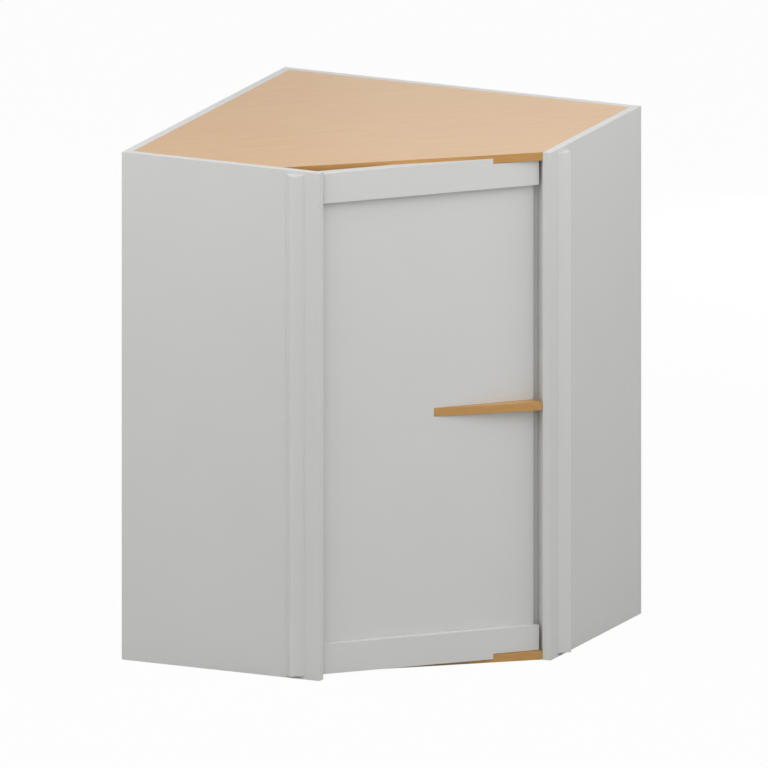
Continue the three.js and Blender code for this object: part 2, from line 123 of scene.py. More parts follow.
class Stile(Enum):
    """The stile outside a side panel and the one inside it."""

    SCRIBE = "scribe"
    FRAME = "frame"


class Leaf(Enum):
    """The two leaves of a hinge, left and right of its pin."""

    FRAME = "frame"
    DOOR = "door"

    @property
    def sign(self) -> int:
        """Gives the leaf's side of the pin along X."""
        return 1 if self is Leaf.DOOR else -1

    @property
    def body(self) -> Body:
        """Gives the body that the leaf moves with."""
        return Body.DOOR if self is Leaf.DOOR else Body.CARCASS

    @property
    def tabs(self) -> tuple[int, ...]:
        """Gives the thirds of its height that are rolled round the pin, from its foot."""
        return (1,) if self is Leaf.DOOR else (0, 2)


class Grain(Enum):
    """The way a board's grain runs, as a turn about the vertical in degrees."""

    ALONG_DOOR = 0
    ALONG_LEFT_WALL = 45
    ALONG_RIGHT_WALL = -45


# ---------------------------------------------------------------------------
# Colour and nodes
# ---------------------------------------------------------------------------

FIRST_COLOUR, SECOND_COLOUR = 6, 7  # numbers of a mix node's colour inputs
MIXED_COLOUR = 2  # number of its colour output
SRGB_KNEE, SRGB_SLOPE = 0.04045, 12.92  # end and slope of the straight start of the sRGB curve
SRGB_SHIFT, SRGB_POWER = 0.055, 2.4  # of the rest of the curve
NOISE_SPAN = (0.3, 0.7)  # most of a noise texture's values
FULL_SPAN = (0.0, 1.0)


def linear(hex_colour: str) -> tuple[float, float, float, float]:
    """Turns an sRGB hex colour into the linear colour that shaders take.

    Args:
        hex_colour: Colour as "#rrggbb".

    Returns:
        Linear red, green, blue and an alpha of 1.
    """
    channels = [int(hex_colour[i : i + 2], 16) / 255 for i in (1, 3, 5)]
    red, green, blue = (
        c / SRGB_SLOPE if c <= SRGB_KNEE else ((c + SRGB_SHIFT) / (1 + SRGB_SHIFT)) ** SRGB_POWER
        for c in channels
    )
    return red, green, blue, 1.0


def per_mm(size_mm: float) -> float:
    """Gives the texture scale, in repeats per metre, of a feature of a size in millimetres."""
    return 1 / (size_mm * MM)


def ranged(span: tuple[float, float], result: tuple[float, float]) -> dict[str, float]:
    """Gives the settings that spread a span of values over a range of results.

    Args:
        span: Lowest and highest value.
        result: What those two become.

    Returns:
        Values by input name.
    """
    return {"From Min": span[0], "From Max": span[1], "To Min": result[0], "To Max": result[1]}


def add_node(
    tree: bpy.types.NodeTree,
    kind: str,
    settings: dict[str | int, object] | None = None,
    links: dict[str | int, bpy.types.NodeSocket] | None = None,
) -> bpy.types.Node:
    """Adds a node with its settings and incoming links.

    Args:
        tree: Node tree to add to.
        kind: Node type, such as "ShaderNodeTexNoise".
        settings: Values by property name, input name or input number.
        links: Output sockets by the input name or number that they feed.

    Returns:
        The new node.
    """
    node = tree.nodes.new(kind)
    for name, value in (settings or {}).items():
        if isinstance(name, str) and hasattr(node, name):
            setattr(node, name, value)
        else:
            node.inputs[name].default_value = value
    for name, socket in (links or {}).items():
        tree.links.new(socket, node.inputs[name])
    return node


def new_material(name: str) -> tuple[bpy.types.Material, bpy.types.NodeTree]:
    """Makes an empty node material.

    Args:
        name: The material's name.

    Returns:
        The material and its cleared node tree.
    """
    material = bpy.data.materials.new(name)
    material.use_nodes = True
    material.node_tree.nodes.clear()
    return material, material.node_tree


# ---------------------------------------------------------------------------
# Finishes
# ---------------------------------------------------------------------------


@dataclass(frozen=True)
class SprayedPaint:
    """Satin conversion varnish sprayed on primed plywood."""

    # Gives the eye an even off-white with a soft sheen, and a faint orange peel close up.
    name: str = "satin_sprayed_paint_on_ply"
    colour: str = "#dddedd"
    warm_patch: str = "#dad9d7"
    roughness: tuple[float, float] = (0.46, 0.56)
    specular: float = 0.4
    ior: float = 1.5
    patch_mm: float = 170.0
    patch_detail: float = 3.0
    sanding_mm: float = 24.0
    sanding_detail: float = 2.0
    peel_mm: float = 3.2  # real orange peel is 1 to 2 mm, drawn a little coarser so that it can show
    peel_detail: float = 1.0
    peel_depth_mm: float = 0.012
    peel_strength: float = 0.35

    def build(self) -> bpy.types.Material:
        """Builds the material: broad tone patches, uneven gloss from sanding, and orange peel.

        Returns:
            The material.
        """
        material, tree = new_material(self.name)
        place = add_node(tree, "ShaderNodeTexCoord").outputs["Object"]
        patches = add_node(
            tree,
            "ShaderNodeTexNoise",
            {"Scale": per_mm(self.patch_mm), "Detail": self.patch_detail},
            {"Vector": place},
        )
        tone = add_node(
            tree,
            "ShaderNodeMix",
            {"data_type": "RGBA", FIRST_COLOUR: linear(self.colour), SECOND_COLOUR: linear(self.warm_patch)},
            {0: patches.outputs["Fac"]},
        )
        sanding = add_node(
            tree,
            "ShaderNodeTexNoise",
            {"Scale": per_mm(self.sanding_mm), "Detail": self.sanding_detail},
            {"Vector": place},
        )
        gloss = add_node(
            tree, "ShaderNodeMapRange", ranged(NOISE_SPAN, self.roughness), {"Value": sanding.outputs["Fac"]}
        )
        peel = add_node(
            tree,
            "ShaderNodeTexNoise",
            {"Scale": per_mm(self.peel_mm), "Detail": self.peel_detail},
            {"Vector": place},
        )
        relief = add_node(
            tree,
            "ShaderNodeBump",
            {"Strength": self.peel_strength, "Distance": self.peel_depth_mm * MM},
            {"Height": peel.outputs["Fac"]},
        )
        shader = add_node(
            tree,
            "ShaderNodeBsdfPrincipled",
            {"IOR": self.ior, "Specular IOR Level": self.specular},
            {
                "Base Color": tone.outputs[MIXED_COLOUR],
                "Roughness": gloss.outputs["Result"],
                "Normal": relief.outputs["Normal"],
            },
        )
        add_node(tree, "ShaderNodeOutputMaterial", links={"Surface": shader.outputs["BSDF"]})
        return material


@dataclass(frozen=True)
class LacqueredMaple:
    """Maple, planed, veneered or edge banded, under clear satin lacquer."""

    # Gives the eye a warm pale tan with a low, silky figure that runs with the grain, under a calm gloss.
    name: str
    grain: Grain = Grain.ALONG_DOOR
    colour: str = "#c99a56"
    late_wood: str = "#bf8b48"
    coat: float = 0.6
    coat_roughness: float = 0.28
    roughness: tuple[float, float] = (0.42, 0.54)
    ior: float = 1.5
    growth_mm: float = 26.0
    growth_stretch: float = 9.0
    growth_detail: float = 2.0
    growth_waver: float = 0.6
    ring_span: float = 0.09  # of the growth noise, from one ring to the next
    ring_gain: float = 5.5
    fibre_mm: float = 1.6  # real fibres are 0.1 mm wide, drawn as coarse as a bundle that can show
    fibre_stretch: float = 28.0
    fibre_detail: float = 4.0
    fibre_harshness: float = 0.6  # strength of each finer layer against the one before
    fibre_gain: float = 0.45
    fibre_depth_mm: float = 0.01
    fibre_strength: float = 0.4

    def grain_place(self, tree: bpy.types.NodeTree, across_mm: float, stretch: float) -> bpy.types.NodeSocket:
        """Lays coordinates along the grain.

        Args:
            tree: Node tree to add to.
            across_mm: Size of one repeat across the grain.
            stretch: How many times longer a repeat is along the grain.

        Returns:
            The coordinate socket.
        """
        place = add_node(tree, "ShaderNodeTexCoord").outputs["Object"]
        along = add_node(
            tree,
            "ShaderNodeVectorRotate",
            {"rotation_type": "Z_AXIS", "Angle": math.radians(self.grain.value)},
            {"Vector": place},
        )
        across = per_mm(across_mm)
        scaled = add_node(
            tree,
            "ShaderNodeVectorMath",
            {"operation": "MULTIPLY", 1: (across / stretch, across, across)},
            {0: along.outputs["Vector"]},
        )
        return scaled.outputs["Vector"]

    def build(self) -> bpy.types.Material:
        """Builds the material: growth bands and fibre bundles in its tone, gloss and surface.

        Returns:
            The material.
        """
        material, tree = new_material(self.name)
        growth = add_node(
            tree,
            "ShaderNodeTexNoise",
            {"Scale": 1.0, "Detail": self.growth_detail, "Distortion": self.growth_waver},
            {"Vector": self.grain_place(tree, self.growth_mm, self.growth_stretch)},
        )
        fibre = add_node(
            tree,
            "ShaderNodeTexNoise",
            {"Scale": 1.0, "Detail": self.fibre_detail, "Roughness": self.fibre_harshness},
            {"Vector": self.grain_place(tree, self.fibre_mm, self.fibre_stretch)},
        )
        rings = add_node(
            tree, "ShaderNodeMath", {"operation": "PINGPONG", 1: self.ring_span}, {0: growth.outputs["Fac"]}
        )
        ring_share = add_node(
            tree, "ShaderNodeMath", {"operation": "MULTIPLY", 1: self.ring_gain}, {0: rings.outputs["Value"]}
        )
        figure = add_node(
            tree,
            "ShaderNodeMath",
            {"operation": "MULTIPLY_ADD", 1: self.fibre_gain, "use_clamp": True},
            {0: fibre.outputs["Fac"], 2: ring_share.outputs["Value"]},
        )
        tone = add_node(
            tree,
            "ShaderNodeMix",
            {"data_type": "RGBA", FIRST_COLOUR: linear(self.colour), SECOND_COLOUR: linear(self.late_wood)},
            {0: figure.outputs["Value"]},
        )
        gloss = add_node(
            tree, "ShaderNodeMapRange", ranged(FULL_SPAN, self.roughness), {"Value": fibre.outputs["Fac"]}
        )
        relief = add_node(
            tree,
            "ShaderNodeBump",
            {"Strength": self.fibre_strength, "Distance": self.fibre_depth_mm * MM},
            {"Height": fibre.outputs["Fac"]},
        )
        shader = add_node(
            tree,
            "ShaderNodeBsdfPrincipled",
            {
                "IOR": self.ior,
                "Coat Weight": self.coat,
                "Coat Roughness": self.coat_roughness,
                "Coat IOR": self.ior,
            },
            {
                "Base Color": tone.outputs[MIXED_COLOUR],
                "Roughness": gloss.outputs["Result"],
                "Normal": relief.outputs["Normal"],
            },
        )
        add_node(tree, "ShaderNodeOutputMaterial", links={"Surface": shader.outputs["BSDF"]})
        return material


@dataclass(frozen=True)
class PlatedMetal:
    """Pressed or cast metal with a thin plating."""

    # Gives the eye a grey gloss that fine rolling or casting marks break up.
    name: str
    colour: str
    mark_colour: str
    roughness: tuple[float, float]
    mark_mm: float
    mark_depth_mm: float
    mark_stretch: float = 1.0
    mark_detail: float = 3.0
    mark_strength: float = 0.4

    def build(self) -> bpy.types.Material:
        """Builds the material: marks of one size that vary its tone, gloss and surface.

        Returns:
            The material.
        """
        material, tree = new_material(self.name)
        place = add_node(tree, "ShaderNodeTexCoord").outputs["Object"]
        scale = per_mm(self.mark_mm)
        drawn = add_node(
            tree,
            "ShaderNodeVectorMath",
            {"operation": "MULTIPLY", 1: (scale, scale, scale / self.mark_stretch)},
            {0: place},
        )
        marks = add_node(
            tree,
            "ShaderNodeTexNoise",
            {"Scale": 1.0, "Detail": self.mark_detail},
            {"Vector": drawn.outputs["Vector"]},
        )
        tone = add_node(
            tree,
            "ShaderNodeMix",
            {"data_type": "RGBA", FIRST_COLOUR: linear(self.colour), SECOND_COLOUR: linear(self.mark_colour)},
            {0: marks.outputs["Fac"]},
        )
        gloss = add_node(
            tree, "ShaderNodeMapRange", ranged(NOISE_SPAN, self.roughness), {"Value": marks.outputs["Fac"]}
        )
        relief = add_node(
            tree,
            "ShaderNodeBump",
            {"Strength": self.mark_strength, "Distance": self.mark_depth_mm * MM},
            {"Height": marks.outputs["Fac"]},
        )
        shader = add_node(
            tree,
            "ShaderNodeBsdfPrincipled",
            {"Metallic": 1.0},
            {
                "Base Color": tone.outputs[MIXED_COLOUR],
                "Roughness": gloss.outputs["Result"],
                "Normal": relief.outputs["Normal"],
            },
        )
        add_node(tree, "ShaderNodeOutputMaterial", links={"Surface": shader.outputs["BSDF"]})
        return material


@dataclass(frozen=True)
class GrainySolid:
    """A non-metal with one fine texture of its own: moulded plastic, sintered ferrite or pressed felt."""

    name: str
    colour: str
    fleck: str
    roughness: float
    fleck_mm: float
    depth_mm: float
    fleck_detail: float = 4.0
    strength: float = 0.5
    sheen: float = 0.0
    ior: float = 1.46

    def build(self) -> bpy.types.Material:
        """Builds the material: flecks that vary its tone and its surface.

        Returns:
            The material.
        """
        material, tree = new_material(self.name)
        place = add_node(tree, "ShaderNodeTexCoord").outputs["Object"]
        flecks = add_node(
            tree,
            "ShaderNodeTexNoise",
            {"Scale": per_mm(self.fleck_mm), "Detail": self.fleck_detail},
            {"Vector": place},
        )
        tone = add_node(
            tree,
            "ShaderNodeMix",
            {"data_type": "RGBA", FIRST_COLOUR: linear(self.colour), SECOND_COLOUR: linear(self.fleck)},
            {0: flecks.outputs["Fac"]},
        )
        relief = add_node(
            tree,
            "ShaderNodeBump",
            {"Strength": self.strength, "Distance": self.depth_mm * MM},
            {"Height": flecks.outputs["Fac"]},
        )
        shader = add_node(
            tree,
            "ShaderNodeBsdfPrincipled",
            {"Roughness": self.roughness, "IOR": self.ior, "Sheen Weight": self.sheen},
            {"Base Color": tone.outputs[MIXED_COLOUR], "Normal": relief.outputs["Normal"]},
        )
        add_node(tree, "ShaderNodeOutputMaterial", links={"Surface": shader.outputs["BSDF"]})
        return material


# Satin nickel over pressed steel: a calm pale grey gloss, blurred a little by short rolling marks. Real
# marks are under 0.1 mm wide, and are drawn coarser so that they can show.
NICKEL = PlatedMetal(
    "nickel_plated_pressed_steel",
    colour="#cac9c5",
    mark_colour="#c7c6c2",
    roughness=(0.3, 0.34),
    mark_mm=0.4,
    mark_depth_mm=0.0003,
    mark_stretch=6.0,
)
# Die cast zinc: a duller blue grey with a soft cast skin, drawn at about its real size.
ZINC = PlatedMetal(
    "die_cast_zinc",
    colour="#a3a5a8",
    mark_colour="#989a9d",
    roughness=(0.42, 0.5),
    mark_mm=0.9,
    mark_depth_mm=0.004,
)
# Moulded nylon: translucent off-white in life, here an even milk white with a fine spark texture. Real
# sparking is 0.1 to 0.3 mm, and is drawn coarser so that it can show.
NYLON = GrainySolid(
    "moulded_nylon", colour="#e2e0da", fleck="#d8d5cd", roughness=0.42, fleck_mm=0.8, depth_mm=0.012
)
# Sintered ferrite: near black, matt, with a fine grit. Real grit is under 0.1 mm, and is drawn coarser so
# that it can show.
FERRITE = GrainySolid(
    "sintered_ferrite", colour="#3a3b3e", fleck="#2c2c2f", roughness=0.62, fleck_mm=0.5, depth_mm=0.02
)
# Pressed wool felt: pale grey fibres that catch the light at their tips. Real fibres are under 0.05 mm, and
# are drawn as coarse as a tuft that can show.
FELT = GrainySolid(
    "pressed_wool_felt",
    colour="#cfccc3",
    fleck="#bdb9ae",
    roughness=0.95,
    fleck_mm=0.35,
    depth_mm=0.06,
    sheen=0.4,
)


@dataclass
class Finishes:
    """Every finish of the cabinet, built once."""

    paint: bpy.types.Material = field(init=False)
    deck_maple: bpy.types.Material = field(init=False)
    rail_maple: dict[Side, bpy.types.Material] = field(init=False)
    solid_maple: bpy.types.Material = field(init=False)
    nickel: bpy.types.Material = field(init=False)
    zinc: bpy.types.Material = field(init=False)
    nylon: bpy.types.Material = field(init=False)
    ferrite: bpy.types.Material = field(init=False)
    felt: bpy.types.Material = field(init=False)

    def __post_init__(self) -> None:
        """Builds the materials."""
        self.paint = SprayedPaint().build()
        self.deck_maple = LacqueredMaple("lacquered_maple_veneer_deck").build()
        grains = {Side.LEFT: Grain.ALONG_LEFT_WALL, Side.RIGHT: Grain.ALONG_RIGHT_WALL}
        self.rail_maple = {
            side: LacqueredMaple(f"lacquered_maple_rail_{side.value}", grain).build()
            for side, grain in grains.items()
        }
        self.solid_maple = LacqueredMaple("lacquered_solid_maple_pull", growth_mm=14.0).build()
        self.nickel = NICKEL.build()
        self.zinc = ZINC.build()
        self.nylon = NYLON.build()
        self.ferrite = FERRITE.build()
        self.felt = FELT.build()


# ---------------------------------------------------------------------------
# Mesh work
# ---------------------------------------------------------------------------


def quarter(steps: int) -> list[float]:
    """Gives the angles of a quarter turn in equal steps, from 0, in radians."""
    return [math.pi / 2 * i / steps for i in range(steps + 1)]


def in_metres(outline: Outline) -> Outline:
    """Turns an outline from millimetres into metres."""
    return [(first * MM, second * MM) for first, second in outline]


def object_from(mesh_data: bmesh.types.BMesh, name: str) -> bpy.types.Object:
    """Turns a bmesh into a linked object.

    Args:
        mesh_data: The mesh, which is freed.
        name: Name of the object and its mesh.

    Returns:
        The new object.
    """
    bmesh.ops.recalc_face_normals(mesh_data, faces=mesh_data.faces)
    mesh = bpy.data.meshes.new(name)
    mesh_data.to_mesh(mesh)
    mesh_data.free()
    piece = bpy.data.objects.new(name, mesh)
    bpy.context.scene.collection.objects.link(piece)
    return piece


def block(name: str, low: Vector, high: Vector) -> bpy.types.Object:
    """Makes a box between two corners.

    Args:
        name: Name of the object.
        low: Lowest corner.
        high: Highest corner.

    Returns:
        The new object.
    """
    mesh_data = bmesh.new()
    bmesh.ops.create_cube(mesh_data, size=1)
    bmesh.ops.scale(mesh_data, vec=high - low, verts=mesh_data.verts)
    bmesh.ops.translate(mesh_data, vec=(low + high) / 2, verts=mesh_data.verts)
    return object_from(mesh_data, name)


def prism(name: str, outline: Outline, low: float, high: float) -> bpy.types.Object:
    """Extrudes an outline in X and Y between two heights.

    Args:
        name: Name of the object.
        outline: Corners in order.
        low: Lower height.
        high: Upper height.

    Returns:
        The new object.
    """
    mesh_data = bmesh.new()
    lower, upper = ([mesh_data.verts.new((x, y, z)) for x, y in outline] for z in (low, high))
    mesh_data.faces.new(lower)
    mesh_data.faces.new(upper)
    for i in range(len(outline)):
        after = (i + 1) % len(outline)
        mesh_data.faces.new((lower[i], lower[after], upper[after], upper[i]))
    return object_from(mesh_data, name)


def turned(name: str, outline: Outline, steps: int) -> bpy.types.Object:
    """Turns a half outline about the Z axis into one closed skin.

    Args:
        name: Name of the object.
        outline: (radius, height) pairs, the first and last on the axis.
        steps: Number of faces round the axis.

    Returns:
        The new object.
    """
    mesh_data = bmesh.new()
    start = mesh_data.verts.new((0, 0, outline[0][1]))
    end = mesh_data.verts.new((0, 0, outline[-1][1]))
    angles = [2 * math.pi * i / steps for i in range(steps)]
    rings = [
        [mesh_data.verts.new((radius * math.cos(a), radius * math.sin(a), height)) for a in angles]
        for radius, height in outline[1:-1]
    ]
    for i in range(steps):
        after = (i + 1) % steps
        mesh_data.faces.new((start, rings[0][i], rings[0][after]))
        mesh_data.faces.new((end, rings[-1][after], rings[-1][i]))
        for lower, upper in zip(rings, rings[1:]):
            mesh_data.faces.new((lower[i], upper[i], upper[after], lower[after]))
    return object_from(mesh_data, name)


def cross(reach: float, half: float, low: float, high: float) -> list[bpy.types.Object]:
    """Makes the two bars that cut a cross recess along Z.

    Args:
        reach: Half length of a bar.
        half: Half width of a bar.
        low: Lower height.
        high: Upper height.

    Returns:
        The two bars.
    """
    return [
        block("bar", Vector((-reach, -half, low)), Vector((reach, half, high))),
        block("bar", Vector((-half, -reach, low)), Vector((half, reach, high))),
    ]


def apply_modifiers(piece: bpy.types.Object) -> None:
    """Replaces a piece's mesh with what its modifiers make of it.

    Args:
        piece: The piece.
    """
    graph = bpy.context.evaluated_depsgraph_get()
    graph.update()
    made = bpy.data.meshes.new_from_object(piece.evaluated_get(graph))
    old = piece.data
    piece.modifiers.clear()
    piece.data = made
    bpy.data.meshes.remove(old)


def cut(piece: bpy.types.Object, tools: Iterable[bpy.types.Object]) -> None:
    """Cuts tools from a piece, and deletes the tools.

    Args:
        piece: The piece that is changed.
        tools: Closed objects.
    """
    for tool in tools:
        modifier = piece.modifiers.new("cut", "BOOLEAN")
        modifier.operation = "DIFFERENCE"
        modifier.solver = "EXACT"
        modifier.object = tool
        apply_modifiers(piece)
        bpy.data.objects.remove(tool)


def move(piece: bpy.types.Object, turn: Matrix, place: Vector) -> bpy.types.Object:
    """Turns and moves a piece's own mesh, so that its object stays at the origin.

    Args:
        piece: The piece.
        turn: Rotation.
        place: Translation.

    Returns:
        The same piece.
    """
    piece.data.transform(Matrix.Translation(place) @ turn.to_4x4())
    return piece


def facing(direction: Vector) -> Matrix:
    """Gives the turn that takes +Z to a direction."""
    return direction.to_track_quat("Z", "Y").to_matrix()


def ease(piece: bpy.types.Object, radius_mm: float, segments: int = EASED_FACES) -> None:
    """Eases a piece's sharp edges with modifiers, inside its own size.

    Args:
        piece: The piece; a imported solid's loose triangles are welded into whole faces first.
        radius_mm: Width of the eased edge.
        segments: Faces across the eased edge.
    """
    weld = piece.modifiers.new("weld", "WELD")
    weld.merge_threshold = WELD_GAP
    flat = piece.modifiers.new("whole_faces", "DECIMATE")
    flat.decimate_type = "DISSOLVE"
    flat.angle_limit = FLAT_ANGLE
    bevel = piece.modifiers.new("eased_edges", "BEVEL")
    bevel.width = radius_mm * MM
    bevel.segments = segments
    bevel.limit_method = "ANGLE"
    bevel.angle_limit = SOFT_CUT_ANGLE
    bevel.use_clamp_overlap = True
    weight = piece.modifiers.new("flat_faces", "WEIGHTED_NORMAL")
    weight.keep_sharp = False


def smooth(piece: bpy.types.Object) -> None:
    """Shades a turned piece smooth, but for its sharp edges."""
    piece.data.polygons.foreach_set("use_smooth", [True] * len(piece.data.polygons))
    piece.data.set_sharp_from_angle(angle=SOFT_CUT_ANGLE)


@dataclass
class Workshop:
    """Hands every piece its finish, gives a new piece its body, and logs it."""

    nodes: dict[str, bpy.types.Object]
    finishes: Finishes
    made: int = 0

    def dress(self, node: str, finish: bpy.types.Material, radius_mm: float) -> None:
        """Gives a packed board its finish and its eased edges.

        Args:
            node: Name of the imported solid.
            finish: Material.
            radius_mm: Width of its eased edges.
        """
        board = self.nodes[node]
        board.data.materials.clear()
        board.data.materials.append(finish)
        ease(board, radius_mm)
        self.made += 1
        LOG.info("dressed %s in %s", node, finish.name)

    def place(
        self,
        piece: bpy.types.Object,
        body: Body,
        slot: str,
        finish: bpy.types.Material,
        replaced: str | None = None,
    ) -> None:
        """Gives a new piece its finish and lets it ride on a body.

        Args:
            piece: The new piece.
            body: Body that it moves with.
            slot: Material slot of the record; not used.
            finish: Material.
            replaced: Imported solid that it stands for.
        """
        piece.data.materials.clear()
        piece.data.materials.append(finish)
        if replaced is not None:
            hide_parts(replaced)
        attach(piece, body.value)
        self.made += 1
        LOG.info("placed %s on the %s in %s", piece.name, body.value, finish.name)


# ---------------------------------------------------------------------------
# Small hardware, with all sizes in millimetres
# ---------------------------------------------------------------------------


@dataclass(frozen=True)
class Screw:
    """A cross-recessed wood screw: head at the origin, pointing along +Z."""

    head_radius: float = 2.9
    head_depth: float = 1.4
    shank_radius: float = 1.4
    length: float = 13.0
    pan_head: bool = False
    land: float = 0.82  # flat middle of the head's face, as a share of its radius
    fillet: float = 0.02
    rim: float = 0.12  # straight rim of a countersunk head
    neck: float = 1.0  # shank without thread, under the head
    root: float = 0.8  # radius between the threads, as a share of the shank's
    pitch: float = 1.3
    tip: float = 2.5
    recess_width: float = 0.8
    recess_reach: float = 1.7
    recess_depth: float = 1.0
    steps: int = 32

    @property
    def top(self) -> float:
        """Gives the height of the head's face: on the seat, or over it for a pan head."""
        return -self.head_depth if self.pan_head else 0.0

    def outline(self) -> Outline:
        """Gives the half outline, with the thread's ridges.

        Returns:
            (radius, height) pairs from the head's face to the tip.
        """
        root = self.shank_radius * self.root
        under = 0.0 if self.pan_head else self.head_depth
        points = [(0.0, self.top), (self.head_radius * self.land, self.top + self.fillet)]
        if self.pan_head:
            points += [(self.head_radius, self.top / 2), (self.head_radius, under)]
        else:
            points.append((self.head_radius, self.rim))
        points.append((root, under + self.fillet))
        start = under + self.neck
        for i in range(int((self.length - self.tip - start) / self.pitch)):
            foot = start + i * self.pitch
            points += [(root, foot), (self.shank_radius, foot + self.pitch / 2)]
        return points + [(root, self.length - self.tip), (0.0, self.length)]

    def build(self, name: str, place: Vector, heading: Vector) -> bpy.types.Object:
        """Builds the screw with its cross recess.

        Args:
            name: Name of the piece.
            place: Middle of the head's face, or of its seat under a pan head.
            heading: The way that the screw goes in.

        Returns:
            The new piece.
        """
        piece = turned(name, in_metres(self.outline()), self.steps)
        reach, half = self.recess_reach * MM, self.recess_width * MM / 2
        cut(piece, cross(reach, half, self.top * MM - OVERCUT, (self.top + self.recess_depth) * MM))
        smooth(piece)
        return move(piece, facing(heading), place)


LEAF_SCREW = Screw()
CATCH_SCREW = Screw(length=12.0)
STRIKE_SCREW = Screw(length=10.0)
PULL_SCREW = Screw(
    head_radius=4.0, head_depth=2.4, shank_radius=2.0, length=15.0, pan_head=True, recess_reach=2.2
)


@dataclass
class Hinge:
    """A butt hinge: two pressed leaves, rolled round a pin, with two screws each."""

    level: Level
    workshop: Workshop
    axis: Vector
    leaf_thickness: float = 1.5
    leaf_gap: float = 2.2
    clearance: float = 0.3  # between the leaves' knuckles
    bore_radius: float = 1.35
    seam: float = 0.05  # between a rolled tab's tip and its plate
    corner_radius: float = 2.0
    countersink_radius: float = 3.2
    hole_radius: float = 1.7
    hole_overrun: float = 0.1  # depth of the countersink past the leaf's back
    edge: float = 0.12
    edge_steps: int = 2
    corner_steps: int = 6
    lead_steps: int = 3  # bends between the plate and the pin's level
    roll_steps: int = 40
    pin_radius: float = 1.25
    pin_chamfer: float = 0.4
    pin_head: float = 1.2
    pin_head_rim: float = 0.25
    dome_steps: int = 8
    pin_steps: int = 48

    @property
    def barrel_radius(self) -> float:
        """Gives the outer radius of the knuckles."""
        return self.leaf_gap / 2 + self.leaf_thickness

    def rolled(self, leaf: Leaf) -> list[tuple[Vector, Vector]]:
        """Gives the section of a tab that is rolled round the pin.

        Args:
            leaf: The leaf that the tab is on.

        Returns:
            Points on its inner and outer face, in pairs from the plate to its tip.
        """
        inner, outer, flat = self.bore_radius, self.barrel_radius, self.leaf_gap / 2
        tip = flat - self.seam
        lean = math.acos(flat / inner)
        pairs = []
        for i in range(self.lead_steps):
            turn = lean * (1 - i / self.lead_steps)
            pairs.append((inner * math.cos(turn), inner * math.sin(turn), outer, outer * math.tan(turn)))
        for i in range(self.roll_steps + 1):
            share = i / self.roll_steps
            a = -(2 * math.pi - math.acos(tip / inner)) * share
            b = -(2 * math.pi - math.acos(tip / outer)) * share
            pairs.append((inner * math.cos(a), inner * math.sin(a), outer * math.cos(b), outer * math.sin(b)))
        middle = Vector((self.axis.x, self.axis.y, 0))
        return [
            (middle + Vector((leaf.sign * x1, y1, 0)) * MM, middle + Vector((leaf.sign * x2, y2, 0)) * MM)
            for x1, y1, x2, y2 in pairs
        ]

    def plate_edge(self, levels: Sequence[float], far: float) -> Outline:
        """Gives the edge of a leaf's plate, with rounded far corners.

        Args:
            levels: Heights where its near edge changes, from its foot to its head.
            far: Y of its far edge.

        Returns:
            Y and Z of its corners, from the foot of its near edge.
        """
        near = self.axis.y + (self.barrel_radius + self.clearance) * MM
        radius = self.corner_radius * MM
        foot, head = levels[0], levels[-1]
        turns = quarter(self.corner_steps)
        upper = [(far - radius * (1 - math.sin(a)), head - radius * (1 - math.cos(a))) for a in turns]
        lower = [(far - radius * (1 - math.cos(a)), foot + radius * (1 - math.sin(a))) for a in turns]
        return [(near, z) for z in levels] + upper + lower

    def blank(self, name: str, leaf: Leaf, levels: Sequence[float], far: float) -> bpy.types.Object:
        """Bends a leaf: a flat plate with tabs that are rolled round the pin.

        Args:
            name: Name of the piece.
            leaf: The leaf.
            levels: Heights where its near edge changes, from its foot to its head.
            far: Y of its far edge.

        Returns:
            The leaf, without its screw holes.
        """
        mesh_data = bmesh.new()
        edge = self.plate_edge(levels, far)
        skins = []
        for out in (self.leaf_gap / 2, self.barrel_radius):
            skins.append([mesh_data.verts.new((self.axis.x + leaf.sign * out * MM, y, z)) for y, z in edge])
            mesh_data.faces.new(skins[-1])
        inner, outer = skins
        for i in range(len(edge)):
            after = (i + 1) % len(edge)
            ring = [inner[i], inner[after], outer[after], outer[i]]
            if i in leaf.tabs:
                low, high = levels[i], levels[after]
                for within, without in self.rolled(leaf):
                    corners = [(within, low), (within, high), (without, high), (without, low)]
                    fresh = [mesh_data.verts.new((point.x, point.y, z)) for point, z in corners]
                    for here, there in ((0, 1), (1, 2), (2, 3), (3, 0)):
                        mesh_data.faces.new((ring[here], ring[there], fresh[there], fresh[here]))
                    ring = fresh
            mesh_data.faces.new(ring)
        return object_from(mesh_data, name)

    def leaf(self, leaf: Leaf) -> None:
        """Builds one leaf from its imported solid's box.

        Args:
            leaf: The leaf.
        """
        node = f"{self.level.value}_hinge_{leaf.value}_leaf"
        low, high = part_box(node)
        gap = self.clearance * MM
        third = (high.z - low.z - 2 * gap) / 3
        inset = third + gap if leaf is Leaf.DOOR else third
        levels = (low.z, low.z + inset, high.z - inset, high.z)
        piece = self.blank(node + "_fine", leaf, levels, high.y)
        cut(piece, self.countersinks(leaf))
        ease(piece, self.edge, self.edge_steps)
        self.workshop.place(piece, leaf.body, "plated_steel", self.workshop.finishes.nickel, node)

    def screw_places(self, leaf: Leaf) -> list[tuple[str, Vector, Vector]]:
        """Gives where a leaf's screws go.

        Args:
            leaf: The leaf.

        Returns:
            Each screw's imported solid, the middle of its head's face and its heading.
        """
        places = []
        for number in PAIR:
            node = f"{self.level.value}_hinge_{leaf.value}_screw_{number}"
            low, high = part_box(node)
            head = (low + high) / 2
            head.x = low.x if leaf is Leaf.DOOR else high.x
            places.append((node, head, Vector((leaf.sign, 0, 0))))
        return places

